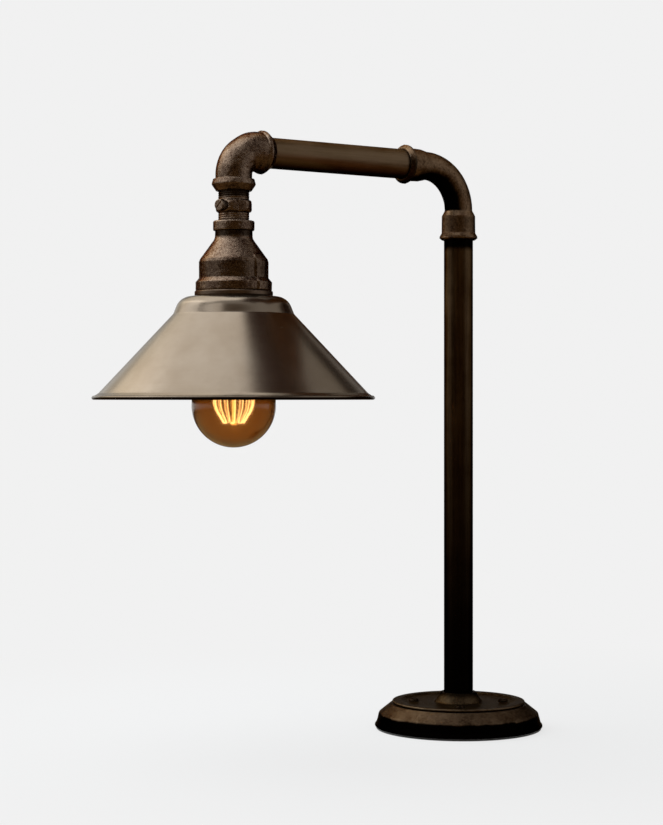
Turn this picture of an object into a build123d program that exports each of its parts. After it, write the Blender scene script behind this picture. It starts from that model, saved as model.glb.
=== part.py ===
from build123d import *
import math
import os

# Table lamp put together from steel pipe and cast pipe fittings.
# Millimetres, +Z up. The origin is on the post axis at the table, and the arm runs along -X.

# Layout
arm_axis_height = 514.0
arm_reach = 244.0

# Fits shared by all pieces
overrun = 2.0
thread_gap = 0.1
seat_gap = 0.2

# Steel pipe of the post and the arm
pipe_radius = 13.35
pipe_wall = 2.4

# Felt pad under the base
pad_thickness = 2.0
pad_inset = 1.2

# Base casting, heavy and nearly solid, with a recess below for the wiring
base_radius = 77.0
foot_height = 1.6
foot_draw_in = 1.6
foot_draw_height = 2.2
wall_draw_in = 2.2
wall_height = 8.4
bevel_width = 10.8
bevel_height = 8.6
edge_round = 0.8
bevel_round = 3.0
recess_radius = 30.0
recess_depth = 13.5

# Base flange, the upper tier with a raised rim, a shallow dish and a hub
flange_inset = 1.4
flange_groove_depth = 1.2
flange_groove_height = 1.0
flange_rim_height = 2.8
flange_rim_width = 8.0
flange_rim_round = 1.2
dish_depth = 1.2
dish_slope_width = 4.0
hub_wall = 3.0
hub_height = 9.0
hub_flare = 5.5
hub_round = 2.4

# Screws that hold the flange to the casting
flange_screw_count = 4
flange_screw_inset = 8.2
flange_screw_turn = 143.0
flange_screw_radius = 2.5
flange_screw_head_radius = 4.4
flange_screw_head_height = 2.0
flange_screw_grip = 9.0
screw_slot_width = 1.1
screw_slot_depth = 0.9
screw_dome_share = 0.8

# Lock nut and washer that hold the post from below
washer_thickness = 1.6
washer_radius = 18.0
locknut_across_flats = 32.0
locknut_height = 5.0
post_stub = 0.5

# Bottom plate and its screws
plate_thickness = 1.6
plate_radius = 38.0
plate_screw_count = 3
plate_screw_circle = 34.0
plate_screw_turn = 60.0
plate_screw_radius = 1.9
plate_screw_head_radius = 3.2
plate_screw_grip = 7.0

# Cord outlet at the back of the base
outlet_height = 7.8
outlet_bore_radius = 2.9
outlet_wall = 1.0
outlet_length = 12.0
outlet_flange_radius = 4.6
outlet_flange_thickness = 2.0
outlet_seat_depth = 1.4

# Terminal block on the bottom plate
block_length = 9.0
block_width = 9.0
block_height = 7.4
block_gap = 1.0
block_screw_spacing = 4.6
block_screw_radius = 1.3
block_screw_head_radius = 1.9
block_screw_head_height = 1.2
block_screw_grip = 4.0

# Two-core lead inside the pipes
lead_radius = 1.9
lead_foot_bend = 6.0
lead_arm_bend = 34.0
lead_head_bend = 15.0

# Long-sweep elbow on the post
post_elbow_reach = 66.0
post_elbow_bend = 39.0
post_elbow_tube_radius = 12.8
post_elbow_wall = 3.2
post_socket_wall = 2.0
post_socket_depth = 18.0
post_socket_length = 22.0
post_bead_proud = 2.15
post_bead_width = 6.0
post_bead_round = 2.0

# Short banded elbow at the arm's end
head_elbow_reach = 35.0
head_elbow_bend = 21.0
head_elbow_wall = 2.4
head_passage_radius = 12.4
head_socket_depth = 13.0
head_band_proud = 3.3
head_band_width = 10.4
head_band_round = 2.4
head_band_edge = 1.0
head_band_taper = 2.6
head_band_crest = 5.8

# Hex nipple between the elbow and the reducer
nipple_upper_neck = 7.3
nipple_lower_neck = 6.8
nipple_thread_length = 11.5
nipple_wall = 2.6
hex_across_flats = 29.6
hex_height = 11.1
hex_turn = 13.0
hex_corner_drop = 1.0

# Bell reducer with a small collar, a flare, a body and a mouth band
reducer_length = 59.6
collar_wall = 4.4
collar_height = 8.5
collar_round = 1.4
neck_wall = 2.8
neck_height = 6.6
neck_round = 7.0
flare_height = 17.7
body_radius = 29.8
shoulder_drop = 2.6
shoulder_width = 0.8
mouth_band_proud = 2.9
mouth_band_height = 7.3
mouth_band_round = 1.0
mouth_taper_height = 3.5
body_wall = 2.8
flare_inner_drop = 2.0
rib_turn = -73.0
rib_count = 2
rib_width = 12.0
rib_proud = 1.4
rib_rise = 4.0

# Ring between the reducer and the shade
ring_proud = 0.65
ring_thickness = 4.7
ring_web = 1.6
ring_round = 1.2

# Spun shade with a rounded shoulder, a cone and a beaded lip
sheet_thickness = 0.9
sheet_bend_round = 1.5
shade_height = 88.0
shoulder_corner_radius = 47.0
shoulder_round = 14.0
crease_radius = 51.4
crease_drop = 15.0
lip_width = 6.1
lip_height = 5.9
rim_radius = 120.4
rim_bead_radius = 1.9

# Lampholder: skirt, cap, core, screw shell, contact leaf, stem and nut
contact_rise = 9.8
skirt_drop = 17.0
skirt_thread_radius = 19.5
skirt_flange_radius = 24.5
skirt_flange_thickness = 3.0
skirt_spigot_height = 11.6
shell_wall = 0.5
shell_gap = 0.5
shell_lift = 3.5
holder_cap_wall = 2.2
holder_chamber_height = 10.5
holder_cap_shoulder = 4.5
holder_boss_radius = 8.5
holder_boss_height = 7.0
core_height = 7.0
leaf_thickness = 0.5
leaf_width = 7.0
leaf_length = 15.0
holder_screw_circle = 11.0
holder_screw_radius = 1.5
holder_screw_head_radius = 2.6
holder_screw_head_height = 1.8
holder_screw_grip = 4.0
stem_radius = 5.0
stem_wall = 1.5
stem_engagement = 6.0
stem_nut_across_flats = 14.0
stem_nut_height = 3.6
bush_height = 6.5

# Ring nut that clamps the shade to the lampholder
shade_nut_radius = 27.0
shade_nut_flange = 2.6
shade_nut_height = 7.0
shade_nut_wall = 3.0
shade_nut_notch_count = 8
shade_nut_notch_radius = 1.6

# Bulb: glass, cap, insulator, contact, stem, filament and its wires
bulb_length = 143.0
bulb_radius = 36.0
glass_thickness = 0.8
glass_neck_radius = 12.3
glass_shoulder_round = 40.0
bulb_cap_radius = 13.1
bulb_cap_wall = 0.5
bulb_cap_height = 22.0
insulator_height = 3.4
insulator_low_radius = 10.4
eyelet_height = 1.6
eyelet_radius = 4.6
stem_flare_height = 11.0
stem_tube_radius = 4.5
stem_tube_length = 24.0
stem_taper_height = 7.0
stem_rod_radius = 1.5
stem_hub_radius = 2.6
stem_hub_height = 3.0

# Squirrel-cage filament, one wire that runs up and down round the stem
filament_lines = 16
filament_radius = 0.30
filament_top_rise = 29.0
filament_top_radius = 12.0
filament_belly_rise = 0.6
filament_belly_radius = 18.4
filament_low_drop = 15.2
filament_low_radius = 8.6
filament_hook_round = 1.4
filament_belly_round = 20.0
filament_samples = 700
support_radius = 0.3
lead_in_radius = 0.45

# Heights that follow from the sizes above
casting_height = foot_height + foot_draw_height + wall_height + bevel_height
z_casting_low = pad_thickness
z_casting_top = z_casting_low + casting_height
z_recess_top = z_casting_low + recess_depth
z_plate_top = z_casting_low + plate_thickness
z_washer_low = z_recess_top - washer_thickness
z_locknut_low = z_washer_low - locknut_height
z_post_low = z_locknut_low - post_stub
z_flange_rim = z_casting_top + flange_rim_height
z_dish = z_flange_rim - dish_depth
z_hub_top = z_dish + hub_height
z_post_socket = arm_axis_height - post_elbow_reach
z_post_top = z_post_socket + post_socket_depth - seat_gap
z_elbow_face = arm_axis_height - head_elbow_reach
z_hex_top = z_elbow_face - nipple_upper_neck
z_hex_low = z_hex_top - hex_height
z_reducer_top = z_hex_low - nipple_lower_neck
z_nipple_low = z_reducer_top - nipple_thread_length
z_mouth = z_reducer_top - reducer_length
z_shade_top = z_mouth - ring_thickness
z_shade_under = z_shade_top - sheet_thickness
z_holder_seat = z_shade_top + ring_web
z_holder_flange = z_holder_seat + skirt_flange_thickness
z_contact = z_mouth + contact_rise
z_skirt_top = z_holder_flange + skirt_spigot_height
z_skirt_low = z_shade_top - skirt_drop
z_core_top = z_skirt_top + core_height
z_chamber_top = z_skirt_top + holder_chamber_height
z_boss_low = z_chamber_top + holder_cap_shoulder
z_boss_top = z_boss_low + holder_boss_height
z_bush_top = z_nipple_low - seat_gap
z_bush_low = z_bush_top - bush_height
z_bulb_low = z_contact - bulb_length
z_bulb_centre = z_bulb_low + bulb_radius
z_cap_top = z_contact - eyelet_height - insulator_height
z_cap_low = z_cap_top - bulb_cap_height
z_glass_top = z_cap_low + bulb_cap_height / 3
z_stem_tube = z_glass_top - stem_flare_height
z_stem_taper = z_stem_tube - stem_tube_length
z_stem_rod = z_stem_taper - stem_taper_height

# Radii that follow from the sizes above
socket_bore = pipe_radius + thread_gap
pipe_bore = pipe_radius - pipe_wall
wall_top_radius = base_radius - foot_draw_in - wall_draw_in
casting_top_radius = wall_top_radius - bevel_width
flange_radius = casting_top_radius - flange_inset
rim_inner_radius = flange_radius - flange_rim_width
dish_radius = rim_inner_radius - dish_slope_width
flange_screw_circle = dish_radius - flange_screw_inset
outlet_radius = outlet_bore_radius + outlet_wall
post_socket_radius = socket_bore + post_socket_wall
head_body_radius = socket_bore + head_elbow_wall
mouth_band_radius = body_radius + mouth_band_proud
ring_radius = mouth_band_radius + ring_proud
mouth_bore = body_radius - body_wall
shell_bore = bulb_cap_radius + thread_gap
shell_radius = shell_bore + shell_wall
skirt_bore = shell_radius + shell_gap
chamber_radius = skirt_thread_radius - holder_cap_wall / 2
holder_cap_radius = skirt_thread_radius + holder_cap_wall

# Places of the head's axis and of the end of the arm pipe
at_head = Pos(-arm_reach, 0, 0)
arm_pipe_start = post_elbow_reach - post_socket_depth + seat_gap
arm_pipe_end = arm_reach - head_elbow_reach + head_socket_depth - seat_gap


def turned(outline):
    """Solid turned about Z from points of radius, height and corner radius."""
    points = [(radius, 0, height) for radius, height, corner in outline]
    corners = [corner for radius, height, corner in outline]
    return revolve(make_face(FilletPolyline(*points, radius=corners, close=True)), Axis.Z)


def disc(radius, low, high):
    """Solid cylinder about Z between two heights."""
    return Pos(0, 0, low) * Cylinder(radius, high - low, align=(Align.CENTER, Align.CENTER, Align.MIN))


def sleeve(outer, inner, low, high):
    """Plain hollow cylinder about Z between two heights."""
    return turned([(inner, low, 0), (outer, low, 0), (outer, high, 0), (inner, high, 0)])


def hexagon(across_flats, low, high, turn):
    """Hexagonal prism about Z between two heights."""
    outline = RegularPolygon(across_flats / 2, 6, major_radius=False, rotation=turn)
    return Pos(0, 0, low) * extrude(outline, high - low)


def around(count, radius, turn):
    """Places spread evenly on a circle about Z."""
    step = 360 / count
    return [Rot(0, 0, turn + step * index) * Pos(radius, 0, 0) for index in range(count)]


def wire(points, bends, radius):
    """Round wire or lead along straight runs joined by arcs."""
    path = FilletPolyline(*points, radius=bends)
    return sweep(Plane(path @ 0, z_dir=path % 0) * Circle(radius), path)


def straight_wire(start, end, radius):
    """Round wire along one straight run."""
    path = Line(start, end)
    return sweep(Plane(path @ 0, z_dir=path % 0) * Circle(radius), path)


def slotted_screw(head_radius, head_height, shank_radius, grip):
    """Round-headed screw with a slot, its head standing on the plane of Z = 0."""
    head = turned([
        (0, 0, 0),
        (head_radius, 0, 0),
        (head_radius, head_height, head_height * screw_dome_share),
        (0, head_height, 0),
    ])
    slot = Box(2 * head_radius + overrun, screw_slot_width, 2 * screw_slot_depth)
    return head - Pos(0, 0, head_height) * slot + disc(shank_radius, -grip, 0)


def joined(places, solid):
    """Copies of one solid at several places, kept as separate solids."""
    return Compound(children=[place * solid for place in places])


def quarter_bend(corner_x, bend, radius, side):
    """Quarter of a ring that takes a vertical run at corner_x into the arm's axis."""
    centre = (corner_x + side * bend, 0, arm_axis_height - bend)
    section = Pos(corner_x, 0, arm_axis_height - bend) * Circle(radius)
    return revolve(section, Axis(centre, (0, side, 0)), 90)


def elbow_ends(corner_x, reach, side):
    """Places of an elbow's two open ends, each with Z pointing into the fitting."""
    below = Pos(corner_x, 0, arm_axis_height - reach)
    beside = Pos(corner_x + side * reach, 0, arm_axis_height) * Rot(0, -90 * side, 0)
    return [below, beside]


def base_pad():
    return disc(base_radius - pad_inset, 0, pad_thickness)


def flange_screw_places():
    return [Pos(0, 0, z_dish) * place
            for place in around(flange_screw_count, flange_screw_circle, flange_screw_turn)]


def plate_screw_places():
    return around(plate_screw_count, plate_screw_circle, plate_screw_turn)


def outlet_place():
    """Seat of the cord bushing's flange, with Z pointing out of the base along +X."""
    return Pos(wall_top_radius - outlet_seat_depth, 0, outlet_height) * Rot(0, 90, 0)


def base_casting():
    z_draw = z_casting_low + foot_height
    z_wall = z_draw + foot_draw_height
    z_bevel = z_wall + wall_height
    body = turned([
        (0, z_casting_low, 0),
        (base_radius, z_casting_low, edge_round),
        (base_radius, z_draw, edge_round),
        (base_radius - foot_draw_in, z_wall, edge_round),
        (wall_top_radius, z_bevel, bevel_round),
        (casting_top_radius, z_casting_top, edge_round),
        (0, z_casting_top, 0),
    ])
    body -= disc(socket_bore, z_casting_low, z_casting_top + overrun)
    body -= disc(recess_radius, z_casting_low - overrun, z_recess_top)
    body -= disc(plate_radius + thread_gap, z_casting_low - overrun, z_plate_top)
    seat = outlet_place()
    body -= seat * disc(outlet_flange_radius + thread_gap, 0, base_radius)
    body -= seat * disc(outlet_radius + thread_gap, recess_radius / 2 - wall_top_radius, overrun)
    for place in flange_screw_places():
        body -= place * disc(flange_screw_radius + thread_gap, -flange_screw_grip - seat_gap, 0)
    for place in plate_screw_places():
        body -= Pos(0, 0, z_casting_low) * place * disc(
            plate_screw_radius + thread_gap, 0, plate_screw_grip + seat_gap)
    return body


def base_flange():
    z_groove = z_casting_top + flange_groove_height
    hub_radius = socket_bore + hub_wall
    body = turned([
        (socket_bore, z_casting_top, 0),
        (flange_radius - flange_groove_depth, z_casting_top, 0),
        (flange_radius - flange_groove_depth, z_groove, 0),
        (flange_radius, z_groove, edge_round / 2),
        (flange_radius, z_flange_rim, flange_rim_round),
        (rim_inner_radius, z_flange_rim, flange_rim_round),
        (dish_radius, z_dish, flange_rim_round),
        (hub_radius + hub_flare, z_dish, hub_round),
        (hub_radius, z_hub_top, edge_round),
        (socket_bore, z_hub_top, 0),
    ])
    for place in flange_screw_places():
        body -= place * disc(flange_screw_radius + thread_gap, -flange_screw_grip, overrun)
    return body


def flange_screws():
    screw = slotted_screw(
        flange_screw_head_radius, flange_screw_head_height, flange_screw_radius, flange_screw_grip)
    return joined(flange_screw_places(), screw)


def post_pipe():
    return sleeve(pipe_radius, pipe_bore, z_post_low, z_post_top)


def post_washer():
    return sleeve(washer_radius, socket_bore, z_washer_low, z_recess_top)


def post_locknut():
    nut = hexagon(locknut_across_flats, z_locknut_low, z_washer_low, 0)
    return nut - disc(socket_bore, z_locknut_low - overrun, z_washer_low + overrun)


def countersink(gap):
    """Cone of a flush screw head in the bottom plate, opened by a gap."""
    head = plate_screw_head_radius + gap
    shank = plate_screw_radius + gap
    return turned([
        (0, z_casting_low, 0),
        (head, z_casting_low, 0),
        (shank, z_plate_top, 0),
        (0, z_plate_top, 0),
    ])


def bottom_plate():
    plate = disc(plate_radius, z_casting_low, z_plate_top)
    for place in plate_screw_places():
        plate -= place * countersink(thread_gap)
    return plate


def plate_screws():
    screw = countersink(0) + disc(plate_screw_radius, z_plate_top, z_casting_low + plate_screw_grip)
    return joined(plate_screw_places(), screw)


def cord_bushing():
    bushing = turned([
        (outlet_bore_radius, -outlet_length, 0),
        (outlet_radius, -outlet_length, 0),
        (outlet_radius, 0, 0),
        (outlet_flange_radius, 0, 0),
        (outlet_flange_radius, outlet_flange_thickness, outlet_wall / 2),
        (outlet_bore_radius, outlet_flange_thickness, 0),
    ])
    return outlet_place() * bushing


def block_start():
    """Distance from the post axis to the near end of the terminal block."""
    return locknut_across_flats / math.sqrt(3) + block_gap


def block_screw_places():
    middle = block_start() + block_length / 2
    return [Pos(middle, side * block_screw_spacing / 2, z_plate_top + block_height) for side in (-1, 1)]


def terminal_block():
    low_corner = (Align.MIN, Align.CENTER, Align.MIN)
    block = Pos(block_start(), 0, z_plate_top) * Box(
        block_length, block_width, block_height, align=low_corner)
    for place in block_screw_places():
        block -= place * disc(block_screw_radius + thread_gap, -block_screw_grip - seat_gap, overrun)
    return block


def terminal_screws():
    head = disc(block_screw_head_radius, 0, block_screw_head_height)
    slot = Box(2 * block_screw_head_radius + overrun, block_screw_radius / 2, block_screw_head_height)
    screw = head - Pos(0, 0, block_screw_head_height) * slot
    return joined(block_screw_places(), screw + disc(block_screw_radius, -block_screw_grip, 0))


def lead_post():
    height = z_plate_top + lead_radius + seat_gap
    points = [(block_start(), 0, height), (0, 0, height), (0, 0, z_post_top)]
    return wire(points, lead_foot_bend, lead_radius)


def lead_arm():
    points = [
        (0, 0, z_post_top + seat_gap),
        (0, 0, arm_axis_height),
        (-arm_pipe_end, 0, arm_axis_height),
    ]
    return wire(points, lead_arm_bend, lead_radius)


def lead_head():
    points = [
        (-arm_pipe_end - seat_gap, 0, arm_axis_height),
        (-arm_reach, 0, arm_axis_height),
        (-arm_reach, 0, z_core_top),
    ]
    return wire(points, lead_head_bend, lead_radius)


def post_elbow():
    run = post_elbow_reach - post_elbow_bend
    bead_radius = post_socket_radius + post_bead_proud
    socket = turned([
        (0, 0, 0),
        (bead_radius, 0, post_bead_round),
        (bead_radius, post_bead_width, post_bead_round),
        (post_socket_radius, post_bead_width, 0),
        (post_socket_radius, post_socket_length, post_bead_round),
        (post_elbow_tube_radius, run, 0),
        (0, run, 0),
    ])
    passage_radius = post_elbow_tube_radius - post_elbow_wall
    passage = disc(socket_bore, -overrun, post_socket_depth) + disc(passage_radius, 0, run)
    ends = elbow_ends(0, post_elbow_reach, -1)
    body = quarter_bend(0, post_elbow_bend, post_elbow_tube_radius, -1)
    hollow = quarter_bend(0, post_elbow_bend, passage_radius, -1)
    for end in ends:
        body += end * socket
        hollow += end * passage
    return body - hollow


def arm_pipe():
    pipe = sleeve(pipe_radius, pipe_bore, arm_pipe_start, arm_pipe_end)
    return Pos(0, 0, arm_axis_height) * Rot(0, -90, 0) * pipe


def head_elbow():
    run = head_elbow_reach - head_elbow_bend
    band_radius = head_body_radius + head_band_proud
    socket = turned([
        (0, 0, 0),
        (band_radius - head_band_taper, 0, head_band_edge),
        (band_radius, head_band_crest, head_band_round),
        (band_radius - head_band_edge, head_band_width, head_band_edge / 2),
        (head_body_radius, head_band_width, 0),
        (head_body_radius, run, 0),
        (0, run, 0),
    ])
    passage = disc(socket_bore, -overrun, head_socket_depth) + disc(head_passage_radius, 0, run)
    ends = elbow_ends(-arm_reach, head_elbow_reach, 1)
    body = quarter_bend(-arm_reach, head_elbow_bend, head_body_radius, 1)
    hollow = quarter_bend(-arm_reach, head_elbow_bend, head_passage_radius, 1)
    for end in ends:
        body += end * socket
        hollow += end * passage
    return body - hollow


def hex_nipple():
    corner_radius = hex_across_flats / math.sqrt(3)
    rounding = turned([
        (0, z_hex_low, 0),
        (hex_across_flats / 2, z_hex_low, 0),
        (corner_radius, z_hex_low + hex_corner_drop, 0),
        (corner_radius, z_hex_top - hex_corner_drop, 0),
        (hex_across_flats / 2, z_hex_top, 0),
        (0, z_hex_top, 0),
    ])
    z_top = z_elbow_face + nipple_thread_length
    nipple = hexagon(hex_across_flats, z_hex_low, z_hex_top, hex_turn) & rounding
    nipple += disc(pipe_radius, z_nipple_low, z_top)
    nipple -= disc(pipe_radius - nipple_wall, z_nipple_low - overrun, z_top + overrun)
    return at_head * nipple


def bell_reducer():
    z_collar = z_reducer_top - collar_height
    z_neck = z_collar - neck_height
    z_flare = z_neck - flare_height
    z_shoulder = z_flare - shoulder_drop
    z_band = z_mouth + mouth_band_height
    neck_radius = socket_bore + neck_wall
    collar_radius = socket_bore + collar_wall
    bell = turned([
        (0, z_reducer_top, 0),
        (collar_radius, z_reducer_top, collar_round),
        (collar_radius, z_collar, collar_round),
        (neck_radius, z_collar, 0),
        (neck_radius, z_neck, neck_round),
        (body_radius - shoulder_width, z_flare, 0),
        (body_radius, z_shoulder, 0),
        (body_radius, z_band + mouth_taper_height, 0),
        (mouth_band_radius, z_band, mouth_band_round),
        (mouth_band_radius, z_mouth, mouth_band_round),
        (0, z_mouth, 0),
    ])
    lug = turned([
        (0, z_neck, 0),
        (neck_radius + rib_proud, z_neck, 0),
        (body_radius - shoulder_width + rib_proud, z_flare, 0),
        (body_radius + rib_proud, z_shoulder, 0),
        (body_radius + rib_proud, z_band + mouth_taper_height, 0),
        (mouth_band_radius + rib_proud, z_band, mouth_band_round),
        (mouth_band_radius + rib_proud, z_mouth, mouth_band_round),
        (0, z_mouth, 0),
    ])
    rib_height = z_flare + rib_rise - z_mouth
    rib_depth = mouth_band_radius + rib_proud + overrun
    rib = Box(rib_depth, rib_width, rib_height, align=(Align.MIN, Align.CENTER, Align.MIN))
    rib = fillet(rib.edges().filter_by(Axis.X).group_by(Axis.Z)[-1], rib_width / 3)
    for place in around(rib_count, 0, rib_turn):
        bell += lug & Pos(0, 0, z_mouth) * place * rib
    bell -= turned([
        (0, z_reducer_top + overrun, 0),
        (socket_bore, z_reducer_top + overrun, 0),
        (socket_bore, z_neck - flare_inner_drop, 0),
        (mouth_bore, z_flare - flare_inner_drop, 0),
        (mouth_bore, z_mouth - overrun, 0),
        (0, z_mouth - overrun, 0),
    ])
    return at_head * bell


def shade_ring():
    ring = turned([
        (skirt_thread_radius + thread_gap, z_shade_top, 0),
        (ring_radius, z_shade_top, ring_round),
        (ring_radius, z_mouth, ring_round),
        (mouth_bore, z_mouth, 0),
        (mouth_bore, z_holder_seat, 0),
        (skirt_thread_radius + thread_gap, z_holder_seat, 0),
    ])
    return at_head * ring


def shade():
    z_bead = z_shade_top - shade_height + rim_bead_radius
    bead_centre = rim_radius - rim_bead_radius
    points = [
        (skirt_thread_radius + thread_gap, 0, z_shade_top),
        (shoulder_corner_radius, 0, z_shade_top),
        (crease_radius, 0, z_shade_top - crease_drop),
        (rim_radius - lip_width, 0, z_shade_top - shade_height + lip_height),
        (bead_centre, 0, z_bead + rim_bead_radius),
    ]
    corners = [shoulder_round, sheet_bend_round, sheet_bend_round]
    line = FilletPolyline(*points, radius=corners)
    skin = make_face(offset(line, sheet_thickness, side=Side.RIGHT))
    bead = Plane.XZ * Pos(bead_centre, z_bead) * Circle(rim_bead_radius)
    return at_head * (revolve(skin, Axis.Z) + revolve(bead, Axis.Z))


def shade_nut():
    outer = skirt_thread_radius + thread_gap + shade_nut_wall
    z_low = z_shade_under - shade_nut_height
    z_flange = z_shade_under - shade_nut_flange
    nut = turned([
        (skirt_thread_radius + thread_gap, z_low, 0),
        (outer, z_low, edge_round),
        (outer, z_flange, 0),
        (shade_nut_radius, z_flange, edge_round),
        (shade_nut_radius, z_shade_under, 0),
        (skirt_thread_radius + thread_gap, z_shade_under, 0),
    ])
    notch = disc(shade_nut_notch_radius, z_flange - overrun, z_shade_under + overrun)
    for place in around(shade_nut_notch_count, shade_nut_radius, 0):
        nut -= place * notch
    return at_head * nut


def holder_skirt():
    skirt = turned([
        (skirt_bore, z_skirt_low, 0),
        (skirt_thread_radius, z_skirt_low, edge_round),
        (skirt_thread_radius, z_holder_seat, 0),
        (skirt_flange_radius, z_holder_seat, 0),
        (skirt_flange_radius, z_holder_flange, edge_round),
        (skirt_thread_radius, z_holder_flange, 0),
        (skirt_thread_radius, z_skirt_top, 0),
        (skirt_bore, z_skirt_top, 0),
    ])
    return at_head * skirt


def holder_cap():
    stem_bore = stem_radius + thread_gap
    z_roof = z_chamber_top + holder_cap_wall / 2
    cap = turned([
        (skirt_thread_radius + thread_gap, z_holder_flange, 0),
        (holder_cap_radius, z_holder_flange, 0),
        (holder_cap_radius, z_chamber_top, holder_cap_shoulder),
        (holder_boss_radius, z_boss_low, edge_round),
        (holder_boss_radius, z_boss_top, edge_round),
        (stem_bore, z_boss_top, 0),
        (stem_bore, z_roof, 0),
        (chamber_radius, z_roof - holder_cap_wall, 0),
        (chamber_radius, z_skirt_top, 0),
        (skirt_thread_radius + thread_gap, z_skirt_top, 0),
    ])
    return at_head * cap


def holder_screw_places():
    return [Pos(0, 0, z_core_top) * place for place in around(2, holder_screw_circle, 0)]


def holder_core():
    core = disc(chamber_radius - thread_gap, z_skirt_top, z_core_top)
    for place in holder_screw_places():
        core -= place * disc(holder_screw_radius + thread_gap, -holder_screw_grip - seat_gap, overrun)
    return at_head * core


def holder_screws():
    screw = slotted_screw(
        holder_screw_head_radius, holder_screw_head_height, holder_screw_radius, holder_screw_grip)
    return at_head * joined(holder_screw_places(), screw)


def holder_shell():
    return at_head * sleeve(shell_radius, shell_bore, z_skirt_low + shell_lift, z_skirt_top)


def holder_contact():
    """Contact leaf fixed flat under the core and bent down to meet the bulb's tip."""
    step = leaf_length / 3
    z_tip = z_contact + seat_gap + leaf_thickness
    line = Polyline(
        (-2 * step, 0, z_skirt_top), (-step, 0, z_skirt_top), (0, 0, z_tip), (step, 0, z_tip))
    side = make_face(offset(line, leaf_thickness, side=Side.RIGHT))
    return at_head * extrude(side, leaf_width / 2, both=True)


def stem_bush():
    return at_head * sleeve(pipe_radius, stem_radius + thread_gap, z_bush_low, z_bush_top)


def stem_nut():
    nut = hexagon(stem_nut_across_flats, z_bush_low - stem_nut_height, z_bush_low, 0)
    return at_head * (nut - disc(stem_radius + thread_gap, z_boss_top, z_bush_top))


def holder_stem():
    return at_head * sleeve(stem_radius, stem_radius - stem_wall, z_boss_top - stem_engagement, z_bush_top)


def bulb_form(inset):
    """Solid of the bulb's round end, shoulder and neck, drawn in by an inset."""
    ball = bulb_radius - inset
    shoulder = glass_shoulder_round + inset
    neck = glass_neck_radius - inset
    z_neck = z_bulb_centre + math.sqrt((ball + shoulder) ** 2 - (neck + shoulder) ** 2)
    lean = math.atan2(z_neck - z_bulb_centre, neck + shoulder)
    foot = (0, 0, z_bulb_centre - ball)
    diagonal = ball / math.sqrt(2)
    cheek = (diagonal, 0, z_bulb_centre - diagonal)
    waist = (ball, 0, z_bulb_centre)
    touch = (ball * math.cos(lean), 0, z_bulb_centre + ball * math.sin(lean))
    half_lean = lean / 2
    shoulder_top = (ball * math.cos(half_lean), 0, z_bulb_centre + ball * math.sin(half_lean))
    bow = (neck + shoulder - shoulder * math.cos(half_lean), 0, z_neck - shoulder * math.sin(half_lean))
    neck_low = (neck, 0, z_neck)
    neck_top = (neck, 0, z_glass_top)
    axis_top = (0, 0, z_glass_top)
    outline = [
        ThreePointArc(foot, cheek, waist),
        ThreePointArc(waist, shoulder_top, touch),
        ThreePointArc(touch, bow, neck_low),
        Polyline(neck_low, neck_top, axis_top, foot),
    ]
    return revolve(make_face(outline), Axis.Z)


def bulb_glass():
    return at_head * (bulb_form(0) - bulb_form(glass_thickness))


def bulb_cap():
    inner = bulb_cap_radius - bulb_cap_wall
    cap = turned([
        (inner, z_cap_low, 0),
        (bulb_cap_radius, z_cap_low, 0),
        (bulb_cap_radius, z_cap_top, bulb_cap_wall),
        (insulator_low_radius - bulb_cap_wall, z_cap_top, 0),
        (insulator_low_radius - bulb_cap_wall, z_cap_top - bulb_cap_wall, 0),
        (inner, z_cap_top - bulb_cap_wall, 0),
    ])
    return at_head * cap


def cap_insulator():
    glass = turned([
        (0, z_cap_top, 0),
        (insulator_low_radius, z_cap_top, 0),
        (eyelet_radius, z_cap_top + insulator_height, 0),
        (0, z_cap_top + insulator_height, 0),
    ])
    return at_head * glass


def bulb_eyelet():
    z_low = z_contact - eyelet_height
    eyelet = turned([
        (0, z_low, 0),
        (eyelet_radius, z_low, 0),
        (eyelet_radius, z_contact, eyelet_height / 2),
        (0, z_contact, 0),
    ])
    return at_head * eyelet


def bulb_stem():
    z_low = z_bulb_centre - filament_low_drop
    stem = turned([
        (0, z_glass_top, 0),
        (glass_neck_radius - glass_thickness - thread_gap, z_glass_top, 0),
        (stem_tube_radius, z_stem_tube, 0),
        (stem_tube_radius, z_stem_taper, 0),
        (stem_rod_radius, z_stem_rod, 0),
        (stem_rod_radius, z_low, 0),
        (0, z_low, 0),
    ])
    for z_hub in (z_bulb_centre + filament_top_rise, z_low):
        stem += disc(stem_hub_radius, z_hub - stem_hub_height / 2, z_hub + stem_hub_height / 2)
    return at_head * stem


def filament_point(radius, rise, line):
    angle = 2 * math.pi * line / filament_lines
    return (radius * math.cos(angle), radius * math.sin(angle), z_bulb_centre + rise)


def filament_path():
    points = []
    rounds = []
    for line in range(filament_lines):
        top = filament_point(filament_top_radius, filament_top_rise, line)
        belly = filament_point(filament_belly_radius, filament_belly_rise, line)
        low = filament_point(filament_low_radius, -filament_low_drop, line)
        run = [top, belly, low]
        if line % 2:
            run.reverse()
        points += run
        rounds += [filament_hook_round, filament_belly_round, filament_hook_round]
    return FilletPolyline(*points, radius=rounds[1:-1])


def filament():
    path = filament_path()
    section = Plane(path @ 0, z_dir=path % 0) * Circle(filament_radius)
    print("filament: least gap to itself", round(least_self_gap(path), 2))
    return at_head * sweep(section, path)


def least_self_gap(path):
    """Least clear distance between stretches of the wire that aren't neighbours along it."""
    spots = [path @ (index / filament_samples) for index in range(filament_samples + 1)]
    step = path.length / filament_samples
    apart = math.ceil(math.pi * filament_hook_round / step)
    least = path.length
    for index, spot in enumerate(spots):
        for other in spots[index + apart:]:
            least = min(least, (spot - other).length)
    return least - 2 * filament_radius


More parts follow.
